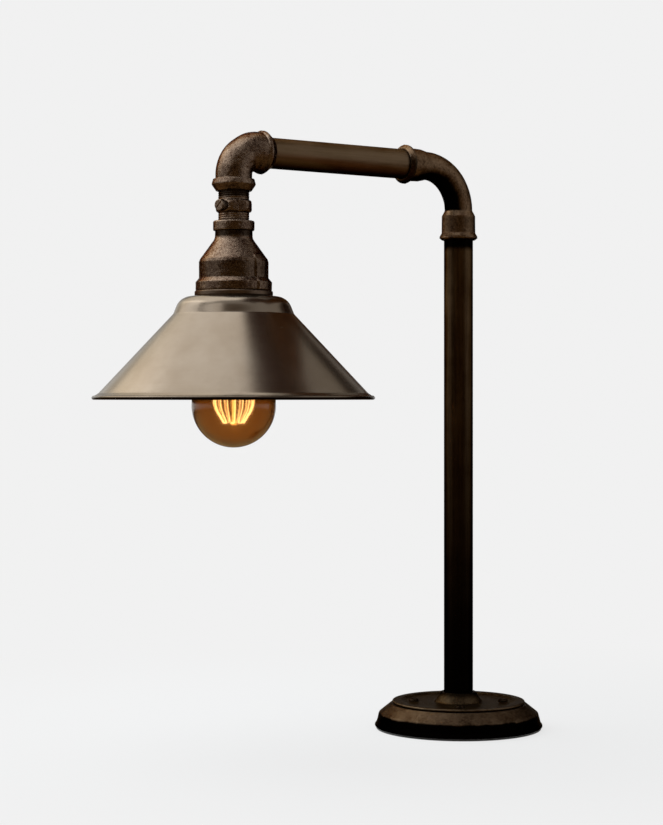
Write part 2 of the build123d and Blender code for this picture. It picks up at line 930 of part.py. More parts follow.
def filament_supports():
    """Hooks that reach from the stem's two hubs to each turn of the filament."""
    hooks = []
    half_step = math.pi / filament_lines
    for line in range(filament_lines - 1):
        low_turn = line % 2 == 0
        turn_radius = filament_low_radius if low_turn else filament_top_radius
        rise = -filament_low_drop if low_turn else filament_top_rise
        reach = turn_radius * math.cos(half_step) - filament_radius - thread_gap
        start = filament_point(stem_hub_radius, rise, line + 1 / 2)
        end = filament_point(reach, rise, line + 1 / 2)
        hooks.append(straight_wire(start, end, support_radius))
    return at_head * Compound(children=hooks)


def lead_in_wires():
    """Two wires that run from the stem's taper to the ends of the filament."""
    wires = []
    taper_radius = (stem_tube_radius + stem_rod_radius) / 2
    rise = (z_stem_taper + z_stem_rod) / 2 - z_bulb_centre
    for line in (0, filament_lines - 1):
        start = filament_point(taper_radius + lead_in_radius, rise, line)
        end = filament_point(filament_top_radius, filament_top_rise + filament_radius, line)
        wires.append(straight_wire(start, end, lead_in_radius))
    return at_head * Compound(children=wires)


pieces = [
    base_pad, base_casting, base_flange, flange_screws, post_pipe, post_washer, post_locknut,
    bottom_plate, plate_screws, cord_bushing, terminal_block, terminal_screws, lead_post,
    post_elbow, arm_pipe, lead_arm,
    head_elbow, hex_nipple, bell_reducer, shade_ring, shade, shade_nut,
    holder_skirt, holder_cap, holder_core, holder_screws, holder_shell, holder_contact,
    stem_bush, stem_nut, holder_stem, lead_head,
    bulb_eyelet, bulb_glass, bulb_cap, cap_insulator, bulb_stem,
    filament, filament_supports, lead_in_wires,
]

os.makedirs("parts", exist_ok=True)
for piece in pieces:
    export_step(piece(), "parts/" + piece.__name__ + ".step")
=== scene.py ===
import math

import bmesh
import bpy
from mathutils import Matrix, Vector, noise


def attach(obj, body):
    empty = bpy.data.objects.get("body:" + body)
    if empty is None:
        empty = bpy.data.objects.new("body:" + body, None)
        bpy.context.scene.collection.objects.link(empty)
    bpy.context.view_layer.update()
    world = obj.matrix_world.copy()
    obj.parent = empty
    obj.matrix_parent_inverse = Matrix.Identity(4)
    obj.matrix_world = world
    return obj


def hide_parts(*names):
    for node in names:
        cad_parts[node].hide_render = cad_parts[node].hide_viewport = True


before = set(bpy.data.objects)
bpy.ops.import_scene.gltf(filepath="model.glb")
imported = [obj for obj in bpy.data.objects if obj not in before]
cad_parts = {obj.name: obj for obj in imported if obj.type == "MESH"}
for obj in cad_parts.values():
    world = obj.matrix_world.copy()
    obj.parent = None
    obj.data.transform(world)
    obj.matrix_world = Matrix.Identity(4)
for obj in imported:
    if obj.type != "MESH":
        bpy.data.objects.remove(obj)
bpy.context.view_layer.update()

# Felt pad
# A disc of grey wool felt, stamped out and glued under the base so that the
# casting doesn't scratch the table. Its cut edge is fuzzy and a little uneven.
mm = 0.001


class Wire:
    """One shader socket. Arithmetic on it adds Math nodes to the same material."""

    def __init__(self, tree, socket=None):
        self.tree = tree
        self.socket = socket

    def add(self, kind, settings, inputs, output=0):
        """New node of a kind, with its settings and the values or links of its sockets."""
        node = self.tree.nodes.new("ShaderNode" + kind)
        for key, value in settings.items():
            setattr(node, key, value)
        for key, value in inputs.items():
            if isinstance(value, Wire):
                self.tree.links.new(value.socket, node.inputs[key])
            else:
                node.inputs[key].default_value = value
        return Wire(self.tree, node.outputs[output])

    def maths(self, operation, *values):
        return self.add("Math", {"operation": operation}, dict(enumerate(values)))

    def __add__(self, other):
        return self.maths("ADD", self, other)

    def __radd__(self, other):
        return self.maths("ADD", other, self)

    def __sub__(self, other):
        return self.maths("SUBTRACT", self, other)

    def __rsub__(self, other):
        return self.maths("SUBTRACT", other, self)

    def __mul__(self, other):
        return self.maths("MULTIPLY", self, other)

    def __rmul__(self, other):
        return self.maths("MULTIPLY", other, self)

    def noise(self, scale, detail=3, roughness=0.55):
        """Cloudy value from about 0.3 to 0.7 at this place on the surface."""
        return self.add("TexNoise", {}, {
            "Vector": self, "Scale": scale, "Detail": detail, "Roughness": roughness})

    def between(self, low, high, unit=1):
        """0 at low, 1 at high, smooth on the way. The two are in this unit."""
        return self.add("MapRange", {"interpolation_type": "SMOOTHSTEP"}, {
            "Value": self, "From Min": low * unit, "From Max": high * unit})

    def blend(self, first, second):
        """Colour that goes from the first to the second with this value."""
        colours = [c if isinstance(c, Wire) else (*c, 1) for c in (first, second)]
        return self.add("Mix", {"data_type": "RGBA"}, {0: self, 6: colours[0], 7: colours[1]}, output=2)

    def stretched(self, x, y, z):
        """This place with each axis scaled."""
        return self.add("VectorMath", {"operation": "MULTIPLY"}, {0: self, 1: (x, y, z)})

    def length(self):
        """Distance of this place from the origin."""
        return self.add("VectorMath", {"operation": "LENGTH"}, {0: self}, output=1)

    def across(self):
        """How far along the arm this place is, in metres."""
        return self.add("SeparateXYZ", {}, {0: self}, output=0)

    def height(self):
        """How high this place is, in metres."""
        return self.add("SeparateXYZ", {}, {0: self}, output=2)

    def bump(self, depth):
        """Surface normal raised by this value, with the depth in metres."""
        return self.add("Bump", {}, {"Strength": 1.0, "Distance": depth, "Height": self})


def finish(name):
    """New material, and the place on the surface that its patterns follow."""
    material = bpy.data.materials.new(name)
    material.use_nodes = True
    place = Wire(material.node_tree).add("TexCoord", {}, {}, output="Object")
    return material, place


def coat(material, **sockets):
    """Sets or links sockets of the material's surface shader."""
    shader = material.node_tree.nodes["Principled BSDF"]
    for key, value in sockets.items():
        socket = shader.inputs[key.replace("_", " ")]
        if isinstance(value, Wire):
            material.node_tree.links.new(value.socket, socket)
        elif socket.type == "RGBA":
            socket.default_value = (*value, 1)
        else:
            socket.default_value = value
    return material


def outline(corners, step):
    """Line through corners of (along, radius, round), with round corners and even steps."""
    line = []
    count = len(corners)
    for index, (along, radius, bend) in enumerate(corners):
        here = Vector((along, radius))
        if not bend:
            line.append(here)
            continue
        back = (Vector(corners[index - 1][:2]) - here).normalized()
        ahead = (Vector(corners[(index + 1) % count][:2]) - here).normalized()
        half = back.angle(ahead) / 2
        middle = here + (back + ahead).normalized() * bend / math.sin(half)
        start = here + back * bend / math.tan(half) - middle
        sweep = math.pi - 2 * half
        if back.x * ahead.y - back.y * ahead.x > 0:
            sweep = -sweep
        parts = max(3, math.ceil(abs(sweep) * bend / step))
        for part in range(parts + 1):
            line.append(middle + Matrix.Rotation(sweep * part / parts, 2) @ start)
    fine = []
    for here, there in zip(line, line[1:] + line[:1]):
        parts = max(1, round((there - here).length / step))
        fine += [here.lerp(there, part / parts) for part in range(parts)]
    return fine


def mesh_of(name, shape):
    """Mesh of a shape that is finished with."""
    mesh = bpy.data.meshes.new(name)
    shape.to_mesh(mesh)
    shape.free()
    return mesh


def put(name, content):
    """New object in the scene, made of a mesh, a light or a lens."""
    placed = bpy.data.objects.new(name, content)
    bpy.context.scene.collection.objects.link(placed)
    return placed


def upright(x):
    """Places along a vertical axis, by height."""
    def place(along):
        return Vector((x, 0, along)), Vector((1, 0, 0)), Vector((0, 1, 0))
    return place


def skin(name, loop, place, sides, relief=None):
    """Closed mesh of rings along an axis. relief moves points out or in, in millimetres."""
    shape = bmesh.new()
    rings = []
    for along, radius in loop:
        centre, across, out = place(along)
        if radius == 0:
            rings.append([shape.verts.new(centre * mm)] * sides)
            continue
        ring = []
        for side in range(sides):
            angle = 2 * math.pi * side / sides
            ray = across * math.cos(angle) + out * math.sin(angle)
            reach = radius
            if relief:
                reach += relief(along, radius, angle, centre + ray * radius)
            ring.append(shape.verts.new((centre + ray * reach) * mm))
        rings.append(ring)
    for ring, after in zip(rings, rings[1:] + rings[:1]):
        for side in range(sides):
            corners = [ring[side], ring[side - 1], after[side - 1], after[side]]
            corners = [v for i, v in enumerate(corners) if v not in corners[:i]]
            if len(corners) > 2:
                shape.faces.new(corners)
    bmesh.ops.recalc_face_normals(shape, faces=shape.faces)
    mesh = mesh_of(name, shape)
    for face in mesh.polygons:
        face.use_smooth = True
    return put(name, mesh)


pad_radius = 75.8
pad_thickness = 2.0


def felt_edge(along, radius, angle, point):
    """Fuzz of the cut edge, all inward."""
    if radius < pad_radius - 1.5:
        return 0
    return -0.18 - 0.16 * noise.noise(point * 0.45)


felt_pad = skin("felt_pad", outline([
    (0, 0, 0),
    (0, pad_radius, 0.5),
    (pad_thickness, pad_radius, 0.5),
    (pad_thickness, 0, 0)], 2.4),
    upright(0), 180, felt_edge)
felt, spot = finish("wool_felt")
fibres = spot.noise(1500, 6, 0.7)
wisps = spot.stretched(1, 4, 1).noise(260, 4)
nap = (fibres * 0.6 + wisps * 0.4).between(0.36, 0.64)
coat(felt,
     Base_Color=nap.blend((0.018, 0.017, 0.016), (0.062, 0.058, 0.054)),
     Roughness=0.95,
     Sheen_Weight=0.5,
     Normal=(fibres + wisps * 0.5).bump(0.0006))
felt_pad.data.materials.append(felt)
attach(felt_pad, "stand")
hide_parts("base_pad")

# Base casting
# A heavy round foot, sand-cast in iron with a lip at the table, a leaning wall
# and a wide bevel, then bronzed dark brown. The bevel is rubbed paler by hands.
base_radius = 77.0
wall_top = 14.2
casting_top = 22.8
casting_top_radius = 62.4
recess_radius = 30.0
recess_top = 15.5
post_bore = 13.45


def cast_skin(depth, bore):
    """Unevenness of a sand casting: broad hollows, grain and pits, all inward and not in the bore."""
    def relief(along, radius, angle, point):
        if radius < bore + 1:
            return 0
        broad = 0.5 + 0.5 * noise.noise(point * 0.09)
        grain = 0.5 + 0.5 * noise.noise(point * 0.42)
        pits = max(0, noise.noise(point * 0.3 + Vector((31, 7, 13))) - 0.42)
        return -depth * (0.5 * broad + 0.5 * grain + 2.2 * pits)
    return relief


base_casting = skin("base_foot", outline([
    (pad_thickness, recess_radius, 0),
    (pad_thickness, base_radius, 0.8),
    (3.6, base_radius, 0.8),
    (5.8, 75.4, 0.8),
    (wall_top, 73.2, 2.6),
    (casting_top, casting_top_radius, 0.8),
    (casting_top, post_bore, 0),
    (recess_top, post_bore, 0),
    (recess_top, recess_radius, 0)], 1.4),
    upright(0), 220, cast_skin(0.3, recess_radius))
outlet_height = 7.8


def bore(piece, height, start, radius):
    """Cuts a round hole into a piece from behind, down to a distance from the post's axis."""
    depth = base_radius + 3 - start
    middle = Matrix.Translation(Vector((start + depth / 2, 0, height)) * mm)
    sideways = Matrix.Rotation(math.pi / 2, 4, "Y")
    shape = bmesh.new()
    bmesh.ops.create_cone(
        shape, cap_ends=True, segments=64, radius1=radius * mm, radius2=radius * mm,
        depth=depth * mm, matrix=middle @ sideways)
    cutter = put("bore", mesh_of("bore", shape))
    cut = piece.modifiers.new("bore", "BOOLEAN")
    cut.operation = "DIFFERENCE"
    cut.object = cutter
    solid = piece.evaluated_get(bpy.context.evaluated_depsgraph_get())
    piece.data = bpy.data.meshes.new_from_object(solid)
    piece.modifiers.clear()
    bpy.data.objects.remove(cutter)


bore(base_casting, outlet_height, start=71.8, radius=4.7)
bore(base_casting, outlet_height, start=25.0, radius=4.0)
glancing_tint = (0.22, 0.18, 0.14)


def cast_finish(name, dark, warm, worn, rough, painted_shade=None):
    """Bronzed casting: blotched brown, paler on worn edges, sandy, with painted shade by the mask."""
    material, spot = finish(name)
    blotch = spot.noise(75, 4, 0.6)
    grain = spot.noise(420, 3, 0.6)
    sand = spot.noise(1000, 4, 0.6)
    bend = spot.add("NewGeometry", {}, {}, output="Pointiness")
    tone = (blotch * 0.3 + grain * 0.3 + sand * 0.4).between(0.34, 0.64).blend(dark, warm)
    tone = (bend.between(0.51, 0.57) * grain.between(0.25, 0.55) * 0.8).blend(tone, worn)
    # Painted shade: the hollows, where Pointiness is low, go nearly black.
    tone = bend.between(0.40, 0.485).blend((0.006, 0.003, 0.002), tone)
    # Painted shade: black where the given mask is 1.
    if painted_shade:
        tone = painted_shade(spot, (blotch - 0.5) * 0.004).blend(tone, (0.001, 0.0007, 0.0005))
    return coat(material,
                Base_Color=tone,
                Metallic=1.0,
                Specular_Tint=glancing_tint,
                Roughness=rough + (grain - 0.5) * 0.3,
                Normal=(grain * 0.5 + sand * 0.5).bump(0.0005))


def foot_painted_shade(place, ragged):
    """Painted shade: black on the wall below the bevel."""
    return (place.height() + ragged).between(wall_top + 0.4, wall_top - 1.4, mm)


base_bronze = cast_finish(
    "base_bronze", dark=(0.016, 0.008, 0.004), warm=(0.080, 0.054, 0.034), worn=(0.15, 0.106, 0.070),
    rough=0.42, painted_shade=foot_painted_shade)
base_casting.data.materials.append(base_bronze)
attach(base_casting, "stand")
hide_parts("base_casting")

# Base flange
# The upper tier, a cast floor flange with a thin raised rim, a shallow dish and
# a tapered hub that the post is screwed into. It is bolted down on the foot.
flange_radius = 61.0
groove_top = 23.8
groove_radius = 59.8
rim_top = 25.6
dish_floor = 24.4
hub_top = 33.4
base_flange = skin("base_flange_tier", outline([
    (casting_top, post_bore, 0),
    (casting_top, groove_radius, 0),
    (groove_top, groove_radius, 0),
    (groove_top, flange_radius, 0.4),
    (rim_top, flange_radius, 1.2),
    (rim_top, 53.0, 1.2),
    (dish_floor, 49.0, 1.2),
    (dish_floor, 21.95, 2.4),
    (hub_top, 16.45, 0.8),
    (hub_top, post_bore, 0)], 0.9),
    upright(0), 200, cast_skin(0.28, post_bore))


def hub_painted_shade(place, ragged):
    """Painted shade: black where the hub meets the post."""
    return (place.height() + ragged).between(hub_top - 4.9, hub_top - 0.9, mm) * 0.85


# The flange's pale worn edges are wear, and on the rim they are also a painted highlight.
flange_bronze = cast_finish(
    "flange_bronze", dark=(0.012, 0.006, 0.003), warm=(0.056, 0.038, 0.021), worn=(0.17, 0.125, 0.085),
    rough=0.42, painted_shade=hub_painted_shade)
base_flange.data.materials.append(flange_bronze)
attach(base_flange, "stand")
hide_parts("base_flange")

# Flange screws
# Four slotted steel screws, oil-blackened, that clamp the flange to the foot.
# Their heads sit down in the dish, dull and nearly black.
blackened, spot = finish("oil_black_steel")
oil = spot.noise(420, 4)
coat(blackened,
     Base_Color=oil.between(0.35, 0.65).blend((0.008, 0.005, 0.003), (0.026, 0.018, 0.012)),
     Metallic=1.0,
     Specular_Tint=glancing_tint,
     Roughness=0.40 + oil * 0.3,
     Normal=oil.bump(0.0002))


def dress(material, *nodes):
    """Gives CAD nodes a finish."""
    for name in nodes:
        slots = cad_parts[name].data.materials
        slots.clear()
        slots.append(material)


dress(blackened, "flange_screws")

# Wiring chamber under the base
# Zinc-plated plate, washer, lock nut and countersunk screws, with a moulded cord
# bushing and a small terminal block. They are seen only from below and behind.
zinc, spot = finish("zinc_plate")
spangle = spot.add("TexVoronoi", {"feature": "F1"}, {"Vector": spot, "Scale": 160.0}, output="Color")
dull = spot.noise(90, 4)
coat(zinc,
     Base_Color=dull.between(0.35, 0.65).blend((0.42, 0.43, 0.44), (0.62, 0.62, 0.60)),
     Metallic=0.95,
     Roughness=0.3 + spangle.add("RGBToBW", {}, {0: spangle}) * 0.22)
dress(zinc, "bottom_plate", "post_washer", "post_locknut", "plate_screws", "stem_nut")
moulded, spot = finish("moulded_black")
speck = spot.noise(900, 3)
coat(moulded,
     Base_Color=speck.between(0.3, 0.7).blend((0.010, 0.010, 0.011), (0.024, 0.023, 0.023)),
     Roughness=0.34 + speck * 0.2,
     Normal=speck.bump(0.0001))
dress(moulded, "cord_bushing", "holder_skirt", "holder_cap", "shade_nut", "stem_bush")
ceramic, spot = finish("glazed_ceramic")
glaze = spot.noise(240, 4)
coat(ceramic,
     Base_Color=glaze.between(0.3, 0.7).blend((0.74, 0.72, 0.67), (0.86, 0.85, 0.81)),
     Roughness=0.16 + glaze * 0.16,
     Normal=glaze.bump(0.0002))
dress(ceramic, "terminal_block", "holder_core")

# Post and arm
# Two lengths of steel pipe, bronzed to a satin brown. Drawing the pipe leaves
# faint streaks along it, and handling leaves cloudy patches. Painted shade
# blackens the post under its elbow, darkens it towards its foot and darkens the
# arm's underside. The arm is given lighter colours than the post as painted light.
arm_height = 514.0
socket_face = 448.0


def pipe_finish(name, along, dim, low, high, rough=0.34, painted_shade_above=None):
    """Bronzed pipe with streaks along it, with painted shade below the dim heights and above the other
    heights, if given.
    """
    black = (0.0015, 0.001, 0.0007)
    material, spot = finish(name)
    streak = spot.stretched(*along).noise(520, 4, 0.6)
    cloud = spot.noise(28, 3, 0.6)
    fine = spot.noise(1600, 3, 0.6)
    tone = (streak * 0.5 + cloud * 0.5).between(0.36, 0.64).blend(low, high)
    # Painted shade: black below the dim heights.
    tone = spot.height().between(*dim, mm).blend(black, tone)
    # Painted shade: black above the second pair of heights.
    if painted_shade_above:
        tone = spot.height().between(*painted_shade_above, mm).blend(tone, black)
    return coat(material,
                Base_Color=tone,
                Metallic=1.0,
                Specular_Tint=glancing_tint,
                Roughness=rough + (cloud - 0.5) * 0.3 + (fine - 0.5) * 0.2,
                Normal=(streak * 0.5 + fine * 0.5).bump(0.00012))


# Painted light and shade: the post and the arm are the same pipe, but the arm's colours are lighter as
# painted light and the post's darker as painted shade.
post_bronze_shaded = pipe_finish(
    "post_bronze_shaded", along=(1, 1, 0.03), dim=(50, 440), low=(0.031, 0.017, 0.008), high=(0.064, 0.040, 0.021),
    painted_shade_above=(socket_face - 11.5, socket_face - 5.5))
dress(post_bronze_shaded, "post_pipe")
arm_bronze_lit = pipe_finish(
    "arm_bronze_lit", along=(0.03, 1, 1), dim=(arm_height - 14.5, arm_height - 5.5),
    low=(0.092, 0.060, 0.033), high=(0.128, 0.087, 0.053), rough=0.42)
dress(arm_bronze_lit, "arm_pipe")

# Post elbow
# A long-sweep cast elbow with a flared lip at the post and a rolled bead at the
# arm. The pipes are screwed in, and a low parting line runs round it where the
# mould halves met.


def elbow_axis(corner_x, reach, bend, side):
    """Places along an elbow, from its lower face up, round the bend and out along the arm."""
    run = reach - bend
    quarter = bend * math.pi / 2

    def place(along):
        turn = min(max((along - run) / bend, 0), math.pi / 2)
        rise = min(along, run) + bend * math.sin(turn)
        over = bend * (1 - math.cos(turn)) + max(along - run - quarter, 0)
        ahead = Vector((side * math.sin(turn), 0, math.cos(turn)))
        across = Vector((0, 1, 0))
        centre = Vector((corner_x + side * over, 0, arm_height - reach + rise))
        return centre, across, ahead.cross(across)
    return place, 2 * run + quarter


def both_ends(first, second, length):
    """Corners of one end of a fitting, and those of its other end, which count from there."""
    return first + [(length - along, radius, bend) for along, radius, bend in reversed(second)]


def elbow_relief(depth, bore):
    """Casting skin with a parting line along the inside and the outside of the bend."""
    rough = cast_skin(depth, bore)

    def relief(along, radius, angle, point):
        if radius < bore + 1:
            return 0
        off_line = abs(math.cos(angle)) * radius
        return rough(along, radius, angle, point) + 0.22 * math.exp(-(off_line / 0.7) ** 2)
    return relief


sweep_reach = arm_height - socket_face
sweep_bend = 39.0
bend_height = arm_height - sweep_bend
pipe_socket = [
    (18.0, 9.6, 0),
    (18.0, post_bore, 0),
    (0, post_bore, 0.4),
    (0, 15.2, 0.5)]
post_mouth = pipe_socket + [
    (1.8, 17.6, 0.7),
    (3.6, 17.3, 0.8),
    (6.4, 15.6, 1.2),
    (22.0, 15.45, 2.0),
    (27.0, 12.8, 3.0)]
arm_mouth = pipe_socket + [
    (3.2, 17.6, 0.9),
    (6.0, 17.6, 1.6),
    (6.0, 15.0, 0.4),
    (19.0, 14.6, 6.0),
    (27.0, 12.8, 10.0)]
post_axis, post_length = elbow_axis(0, sweep_reach, sweep_bend, -1)
post_corners = both_ends(post_mouth, arm_mouth, post_length)
post_elbow = skin("sweep_elbow", outline(post_corners, 0.9),
                  post_axis, 120, elbow_relief(0.24, post_bore - 4))


def bend_painted_shade(place, ragged):
    """Painted shade: black in the bend, under the lower mouth and beside the arm's bead, and a darker
    socket.
    """
    height = place.height() + ragged
    middle = (-sweep_bend * mm, 0, bend_height * mm)
    away = place.add("VectorMath", {"operation": "SUBTRACT"}, {0: place, 1: middle}).stretched(1, 0, 1)
    inside = (away.length() + ragged).between(sweep_bend - 3, sweep_bend - 8, mm)
    inside = inside * place.height().between(bend_height - 1.5, bend_height + 0.5, mm)
    under = height.between(socket_face + 1.8, socket_face + 0.6, mm)
    socket = height.between(socket_face + 6.5, socket_face + 8.0, mm)
    socket = socket * height.between(socket_face + 22.0, socket_face + 19.5, mm)
    bead_side = place.across().between(7.0 - sweep_reach, 5.8 - sweep_reach, mm)
    bead_side = bead_side * height.between(arm_height + 12, arm_height - 2, mm)
    return inside + under * 0.85 + socket * 0.28 + bead_side * 0.75


fitting_bronze = cast_finish(
    "fitting_bronze", dark=(0.030, 0.015, 0.007), warm=(0.165, 0.108, 0.066), worn=(0.26, 0.215, 0.170),
    rough=0.38, painted_shade=bend_painted_shade)
post_elbow.data.materials.append(fitting_bronze)
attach(post_elbow, "arm")
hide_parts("post_elbow")

# Head elbow
# A short cast elbow with a wide band at the foot and a swelling that runs out on
# the arm. It turns on the arm's thread, so the whole head tilts with it. Its skin
# is rough and pitted.
head_x = -244.0
head_reach = 35.0
head_bend = 21.0
tube_radius = 15.85
band_radius = 19.15
passage_radius = 12.4
socket_depth = 13.0
head_axis, head_length = elbow_axis(head_x, head_reach, head_bend, 1)
nipple_mouth = [
    (socket_depth, passage_radius, 0),
    (socket_depth, post_bore, 0),
    (0, post_bore, 0.6),
    (0, band_radius - 3.9, 0.8),
    (5.8, band_radius, 2.0),
    (10.4, band_radius - 1.4, 0.5),
    (10.4, tube_radius, 0.5),
    (head_reach - head_bend, tube_radius, 0)]
flared_mouth = [
    (socket_depth, passage_radius, 0),
    (socket_depth, post_bore, 0),
    (0, post_bore, 0.3),
    (0, post_bore + 0.9, 0.3),
    (6.6, band_radius, 2.0),
    (9.4, band_radius - 0.9, 0.5),
    (9.4, 17.5, 0.5),
    (head_reach - head_bend, 17.3, 4.0),
    (26.0, tube_radius, 8.0)]
head_corners = both_ends(nipple_mouth, flared_mouth, head_length)
head_elbow = skin("short_elbow", outline(head_corners, 0.8),
                  head_axis, 120, elbow_relief(0.42, post_bore))
# Each row of painted shade has its lowest height, its highest height and its depth of black
painted_shade_band = (473.8, 479.8, 0.85)
painted_shade_collar = (440.5, 445.8, 0.75)
painted_shade_barrel = (404.5, 419.0, 0.30)


def head_painted_shade(place, ragged):
    """Painted shade: black under the band, the collar and the elbow's arm side, and a darker barrel below.
    """
    height = place.height() + ragged
    arm_side = place.height().between(arm_height - 23.5, arm_height - 21.5, mm)
    arm_side = arm_side * place.across().between(head_x + 15, head_x + 20, mm)
    black = arm_side * height.between(arm_height - 12.5, arm_height - 17.5, mm)
    for low, high, share in (painted_shade_band, painted_shade_collar, painted_shade_barrel):
        above = height.between(low - 1.0, low + 1.0, mm)
        below = height.between(high + 0.7, high - 0.7, mm)
        black = black + above * below * share
    return black


head_bronze = cast_finish(
    "head_bronze", dark=(0.032, 0.015, 0.009), warm=(0.156, 0.112, 0.081), worn=(0.33, 0.26, 0.20),
    rough=0.26, painted_shade=head_painted_shade)
head_elbow.data.materials.append(head_bronze)
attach(head_elbow, "head")
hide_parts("head_elbow")

# Hex nipple
# A cast nipple with a hexagon for the wrench between two threaded necks. A few
# turns of its pipe thread are left showing above and below the hexagon.
hex_flats = 29.6
hex_low = 460.6
hex_top = 471.7
hex_turn = math.radians(48.0)
pipe_pitch = 1.814
nipple_radius = 13.35
nipple_bore = 10.75
nipple_low = 442.3
nipple_top = 490.5


def thread(along, angle, pitch):
    """1 on the crest of a screw thread, and -1 in its root."""
    return math.cos(2 * math.pi * along / pitch - angle)


def nipple_relief(along, radius, angle, point):
    """Hexagon with worn corners between two threaded necks."""
    if radius < nipple_radius - 1:
        return 0
    if radius > nipple_radius + 1:
        lean = (angle - hex_turn) % (math.pi / 3) - math.pi / 6
        share = (radius - nipple_radius) / (hex_flats / 2 - nipple_radius)
        inset = min(along - hex_low, hex_top - along)
        ridge = min((1 / math.cos(lean) - 1) * hex_flats / 2, 0.2 + 0.35 * inset, 1.4)
        rough = 0.25 * noise.noise(point * 0.35) - 0.25
        return ridge * share + rough
    return -0.25 - 0.25 * thread(along, angle, pipe_pitch)


nipple = skin("hex_nipple_casting", outline([
    (nipple_low, nipple_bore, 0),
    (nipple_low, nipple_radius, 0),
    (hex_low, nipple_radius, 0),
    (hex_low + 0.8, hex_flats / 2, 1.4),
    (hex_top - 0.8, hex_flats / 2, 1.4),
    (hex_top, nipple_radius, 0),
    (nipple_top, nipple_radius, 0),
    (nipple_top, nipple_bore, 0)], 0.45),
    upright(head_x), 144, nipple_relief)
nipple.data.materials.append(head_bronze)
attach(nipple, "head")
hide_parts("hex_nipple")

# Lock screw
# A round slotted screw in one flat of the hexagon, which locks the nipple on its
# thread. Its edge is knurled for the fingers, and it is bronzed with the rest.
lock_aim = Vector((-0.951, -0.309, 0)).normalized()
lock_radius = 4.9
lock_face = 20.0
lock_seat = 14.2
shank_radius = 2.4
shank_end = 11.6
slot_depth = 0.9
slot_half_width = 0.65


def lock_axis(along):
    """Places along the screw, by their distance from the nipple's axis."""
    centre = Vector((head_x, 0, (hex_low + hex_top) / 2)) + lock_aim * along
    return centre, Vector((0, 0, 1)), lock_aim.cross(Vector((0, 0, 1)))


def knurl(along, radius, angle, point):
    """Fine grooves round the head's edge."""
    if radius < lock_radius - 0.4:
        return 0
    return -0.15 - 0.15 * math.cos(28 * angle)


lock_screw = skin("lock_screw", outline([
    (shank_end, 0, 0),
    (shank_end, shank_radius, 0),
    (lock_seat, shank_radius, 0),
    (lock_seat, lock_radius, 0.4),
    (lock_face, lock_radius, 0.7),
    (lock_face, 0, 0)], 0.3),
    lock_axis, 112, knurl)
centre, rise, side = lock_axis(lock_face)
for vertex in lock_screw.data.vertices:
    offset = vertex.co / mm - centre
    beside = abs(offset.dot((rise + side).normalized()))
    if offset.dot(lock_aim) > -0.3 and beside < slot_half_width:
        vertex.co -= lock_aim * slot_depth * mm
lock_screw.data.materials.append(head_bronze)
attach(lock_screw, "head")

# Bell reducer
# A cast reducer from the pipe to the wide mouth that carries the shade: collar,
# waist, flare, barrel and mouth band, with two cast lugs to hold it by.
reducer_top = 453.8
reducer_mouth = 394.2
collar_low = 445.3
collar_radius = 17.85
waist_radius = 16.25
barrel_radius = 29.8
barrel_bore = 27.0
mouth_radius = 32.7
lug_turn = math.radians(-73.0)
lug_half_width = 6.0
lug_top = 425.0
lug_proud = 1.4
reducer_skin = cast_skin(0.42, 13.0)


def reducer_relief(along, radius, angle, point):
    """Casting skin with two lugs that are rounded at the top."""
    if radius < 15 or (radius < barrel_bore + 0.1 and along < 418):
        return 0
    out = 0
    off = (angle - lug_turn + math.pi / 2) % math.pi - math.pi / 2
    beside = abs(math.sin(off)) * radius
    crown = lug_top - max(0, beside - 2) ** 2 / 8
    if along < crown + 1 and beside < lug_half_width + 0.6:
        side_rise = min(max((lug_half_width + 0.3 - beside) / 0.6, 0), 1)
        top_rise = min(max((crown + 1 - along) / 1.6, 0), 1)
        out = lug_proud * side_rise * top_rise
    return out + reducer_skin(along, radius, angle, point)


bell_reducer = skin("bell_reducer_casting", outline([
    (reducer_top, post_bore, 0),
    (reducer_top, collar_radius, 1.4),
    (collar_low, collar_radius, 1.0),
    (collar_low, waist_radius, 0.4),
    (438.7, waist_radius, 7.0),
    (421.0, barrel_radius - 0.8, 0.6),
    (418.4, barrel_radius, 0.6),
    (405.0, barrel_radius, 0.6),
    (401.5, mouth_radius, 1.0),
    (reducer_mouth, mouth_radius, 1.0),
    (reducer_mouth, barrel_bore, 0),
    (419.0, barrel_bore, 0),
    (436.7, post_bore, 0)], 0.8),
    upright(head_x), 200, reducer_relief)
bell_reducer.data.materials.append(head_bronze)
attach(bell_reducer, "head")
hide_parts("bell_reducer")

# Shade ring
# A turned ring between the reducer and the shade, in the same brown bronze as
# the pipes. It centres the lampholder, and its edges are rounded over.
ring_bronze = pipe_finish(
    "ring_bronze", along=(1, 1, 6), dim=(360, 390), low=(0.060, 0.040, 0.027), high=(0.125, 0.092, 0.068))
dress(ring_bronze, "shade_ring")

# Shade
# Spun from thin sheet over a former: flat top, rounded shoulder, a crease, a
# long cone and a rolled lip. The tool leaves rings, and the lacquer is satin.
shade_top = 389.5
shade_low = 301.5
sheet = 0.9
rim_radius = 120.4
top_hole = 19.6
spun = outline([
    (shade_top, top_hole, 0),
    (shade_top, 45.4, 13.6),
    (374.5, 51.4, 1.2),
    (307.4, 114.3, 1.4),
    (305.4, 117.4, 0.8),
    (304.9, 119.4, 0.9),
    (303.4, rim_radius, 0.9),
    (shade_low + 0.6, 119.9, 0.8),
    (shade_low, 118.4, 0.8),
    (303.2, 117.0, 0.6),
    (306.2, 114.0, 1.2),
    (373.9, 50.5, 1.2),
    (shade_top - sheet, 44.7, 12.7),
    (shade_top - sheet, top_hole, 0)], 1.6)
shade = skin("spun_shade", spun, upright(head_x), 256)
spun_bronze, spot = finish("spun_bronze")
rings = spot.add("TexNoise", {"noise_dimensions": "1D"}, {
    "W": spot.height(), "Scale": 900.0, "Detail": 4.0, "Roughness": 0.6})
